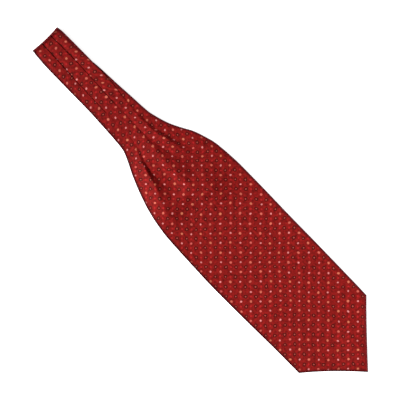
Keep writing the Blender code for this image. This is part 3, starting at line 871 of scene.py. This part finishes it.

# Streaks of painted sheen along the cloth, lighter and darker in colour, which also change its roughness, and
# the painted shade of a dark line at its edges.
drift, painted_light_in, drift_out = new_group(
    "silk sheen and edge shade",
    (
        ("Place", "NodeSocketVector", None),
        ("Color", "NodeSocketColor", (0.2, 0.01, 0.01, 1)),
        ("Edge", "NodeSocketFloat", 0.0),
        ("Edge Color", "NodeSocketColor", (0.082, 0.0034, 0.0052, 1)),
        ("Depth", "NodeSocketFloat", 0.35),
        ("Roughness", "NodeSocketFloat", 0.66),
    ),
    (("Color", "NodeSocketColor"), ("Roughness", "NodeSocketFloat")),
)
streaks = drift.nodes.new("ShaderNodeMapping")
streaks.inputs["Scale"].default_value = STREAKS
wire(drift, (painted_light_in["Place"], streaks.inputs["Vector"]))
streak = sums(drift, "SUBTRACT", noise(drift, streaks.outputs["Vector"], 1.0, 3.0)[0], 0.5)
# The streaks lighten and darken the colour as painted sheen, and change the roughness as well.
lighter = sums(drift, "MULTIPLY_ADD", streak, painted_light_in["Depth"], 1.0)
drifted = scaled_colour(drift, painted_light_in["Color"], lighter)
# Painted shade: the colour darkens towards the outline, where shadow falls at the turned edges.
wire(drift, (mixed(drift, painted_light_in["Edge"], drifted, painted_light_in["Edge Color"]), drift_out["Color"]))
rougher = sums(drift, "MULTIPLY_ADD", streak, STREAK_ROUGHNESS, painted_light_in["Roughness"])
wire(drift, (rougher, drift_out["Roughness"]))


def mapped(tree, place, pitch, turn, start=(0.0, 0.0)):
    """A place on the cloth counted in steps of a repeat, from a slanted line."""
    mapping = tree.nodes.new("ShaderNodeMapping")
    mapping.inputs["Location"].default_value = (start[0], start[1], 0)
    mapping.inputs["Rotation"].default_value = (0, 0, radians(turn))
    mapping.inputs["Scale"].default_value = (1 / (pitch * MM), 1 / (pitch * MM), 1)
    wire(tree, (place, mapping.inputs["Vector"]))
    return mapping.outputs["Vector"]


def placed_group(tree, group, **links):
    """A group in a material, with its inputs joined to sockets by name."""
    node = tree.nodes.new("ShaderNodeGroup")
    node.node_tree = group
    for label, socket in links.items():
        tree.links.new(socket, node.inputs[label.replace("_", " ")])
    return node


def silk_finish(name):
    """Printed silk twill: the print with its mottled dye, streaks of painted sheen, the painted shade at its
    edges, and the ribs of its weave.
    """
    material = bpy.data.materials.new(name)
    material.use_nodes = True
    tree = material.node_tree
    shader = tree.nodes["Principled BSDF"]
    cloth = tree.nodes.new("ShaderNodeUVMap")
    cloth.uv_map = "cloth"
    place = cloth.outputs["UV"]
    # How much painted shade darkens the silk at the outline.
    edge = tree.nodes.new("ShaderNodeAttribute")
    edge.attribute_name = "edge"
    pattern = placed_group(tree, foulard, Place=mapped(tree, place, PRINT_PITCH, PRINT_TURN, PRINT_START))
    weave = placed_group(tree, twill, Place=mapped(tree, place, TWILL_PITCH, 0.0))
    sheen = placed_group(tree, drift, Place=place, Color=pattern.outputs["Color"], Edge=edge.outputs["Fac"])
    ribs = tree.nodes.new("ShaderNodeBump")
    ribs.inputs["Strength"].default_value = RIB_STRENGTH
    ribs.inputs["Distance"].default_value = RIB_HEIGHT * MM
    wire(
        tree,
        (weave.outputs["Height"], ribs.inputs["Height"]),
        (ribs.outputs["Normal"], shader.inputs["Normal"]),
        (sheen.outputs["Color"], shader.inputs["Base Color"]),
        (sheen.outputs["Roughness"], shader.inputs["Roughness"]),
    )
    shader.inputs["Specular IOR Level"].default_value = SILK_SPECULAR
    return material


front.data.materials.append(silk_finish("front silk"))
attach(front, "root")
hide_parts("front_half")


# Back half: the other blade, of the same doubled silk, hidden under the front half. Its layers lie together
# as one rounded body, flat underneath, and its edge shows how many layers there are.
BACK_INSET = 0.8
BACK_ROUNDING = 0.4

# Its layered edge: a groove between every two layers, which fades out along the flare, in a few levels each,
# and the dip of the first and the last level, which rounds them off.
BACK_LAYERS = 3
BACK_GROOVE = 0.5
BACK_GROOVE_END = 250.0
BACK_LEVELS = 4 * BACK_LAYERS
BACK_END_DIP = BACK_ROUNDING / 3

BACK_COLUMNS = 34
BACK_NECK_ROWS = 36
BACK_FLARE_ROWS = 60
BACK_BLADE_ROWS = 50
BACK_FOLD_ANGLES = (12, 22, 32, 45, 58, 74)

# Creases of the underside, where the pleats of the back half open and where it is pressed by its own weight.
# None goes deeper than a third of its thickness.
CREASE_LIMIT = 3
BACK_FOLDS = (
    Fold("left pleat line", (6, 10), (80, 12), (196, 15), 0.5, 1.2),
    Fold("middle pleat line", (6, -6), (90, -7), (180, -3), 0.5, 1.2),
    Fold("right pleat line", (50, -21), (120, -20), (170, -20), 0.4, 1.2),
    Fold("left pleat opening", (178, 14), (222, 21), (286, 38), 0.9, 3.0),
    Fold("middle pleat opening", (170, -3), (215, -7), (262, -6), 0.8, 3.6),
    Fold("right pleat opening", (160, -20), (200, -25), (252, -42), 0.8, 2.8),
    Fold("crease across the blade", (296, -38), (300, 4), (294, 44), 0.5, 2.2),
    Fold("ripple near the left edge", (420, -56), (470, -40), (530, -36), 0.3, 6.0),
)


def back_places(inset):
    """Places (along, across) of the back half's grid, a row at a time, moved in from every edge."""
    shares = np.linspace(-1, 1, 2 * BACK_COLUMNS + 1)
    reach = fold_axis_height() - inset
    rows = [FOLD_AXIS_ALONG - reach * cos(radians(angle)) for angle in BACK_FOLD_ANGLES]
    rows += list(np.linspace(FOLD_AXIS_ALONG, FLARE_START, BACK_NECK_ROWS + 1)[:-1])
    rows += list(np.linspace(FLARE_START, BLADE_START, BACK_FLARE_ROWS + 1))
    grid = []
    for along in rows:
        left = smooth(OUTLINE, "left", along) - BACK_INSET - inset
        right = smooth(OUTLINE, "right", along) - BACK_INSET - inset
        across = np.where(shares < 0, shares * left, shares * right)
        grid.append(np.column_stack([np.full(len(shares), along), across]))
    from_left, from_right = -shares[: BACK_COLUMNS + 1], shares[BACK_COLUMNS + 1 :]
    for row in range(1, BACK_BLADE_ROWS + 1):
        grid.append(blade_places(row / BACK_BLADE_ROWS, from_left, from_right, BACK_INSET + inset))
    return np.array(grid)


def back_half():
    """The hidden half's closed mesh, from an upper grid, an under grid and loops round its layered edge."""
    middle = back_places(BACK_ROUNDING)
    along, across = middle[..., 0], middle[..., 1]
    upper = back_thickness(along.ravel(), across.ravel()).reshape(along.shape)
    creases = sum(fold_height(fold, along.ravel(), across.ravel()) for fold in BACK_FOLDS)
    under = np.minimum(creases.reshape(along.shape), upper / CREASE_LIMIT)
    for row, angle in enumerate(BACK_FOLD_ANGLES):
        under[row] = fold_axis_height() * (1 - sin(radians(angle)))
        upper[row] = np.minimum(upper[row], fold_axis_height() - GAP)
    low, high = border(under), border(upper)
    index, corners = grid_faces(*along.shape)
    points = [placed(along.ravel(), across.ravel(), height.ravel()) for height in (upper, under)]
    places = [np.column_stack([across.ravel(), along.ravel()]) * MM] * 2
    faces = [corners, corners[:, ::-1] + index.size]
    loops = [border(index) + index.size]
    inner, outer = border(middle), border(back_places(0.0))
    grooved = 1 - eased((outer[:, 0] - FLARE_START) / (BACK_GROOVE_END - FLARE_START))
    for level in range(1, BACK_LEVELS):
        share = level / BACK_LEVELS
        dip = BACK_GROOVE * cos(pi * BACK_LAYERS * share) ** 2
        if level in (1, BACK_LEVELS - 1):
            dip = BACK_END_DIP
        ring = outer + (inner - outer) * (dip * grooved / BACK_ROUNDING)[:, None]
        loops.append(np.arange(len(ring)) + sum(len(part) for part in points))
        points.append(placed(ring[:, 0], ring[:, 1], low + (high - low) * share))
        places.append(np.column_stack([ring[:, 1], ring[:, 0]]) * MM)
    loops.append(border(index))
    for near, far in zip(loops, loops[1:]):
        faces.append(np.stack([np.roll(near, -1), near, far, np.roll(far, -1)], -1))
    # The whole layered edge gets the painted edge shade, a dark colour that stands for the shadow between and
    # under its layers.
    edge = [np.zeros(index.size)] * 2 + [np.ones(len(outer))] * (BACK_LEVELS - 1)
    return cloth_piece("back_half_silk", points, faces, places, edge)


back = back_half()
back.data.materials.append(silk_finish("back silk"))
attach(back, "root")
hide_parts("back_half")
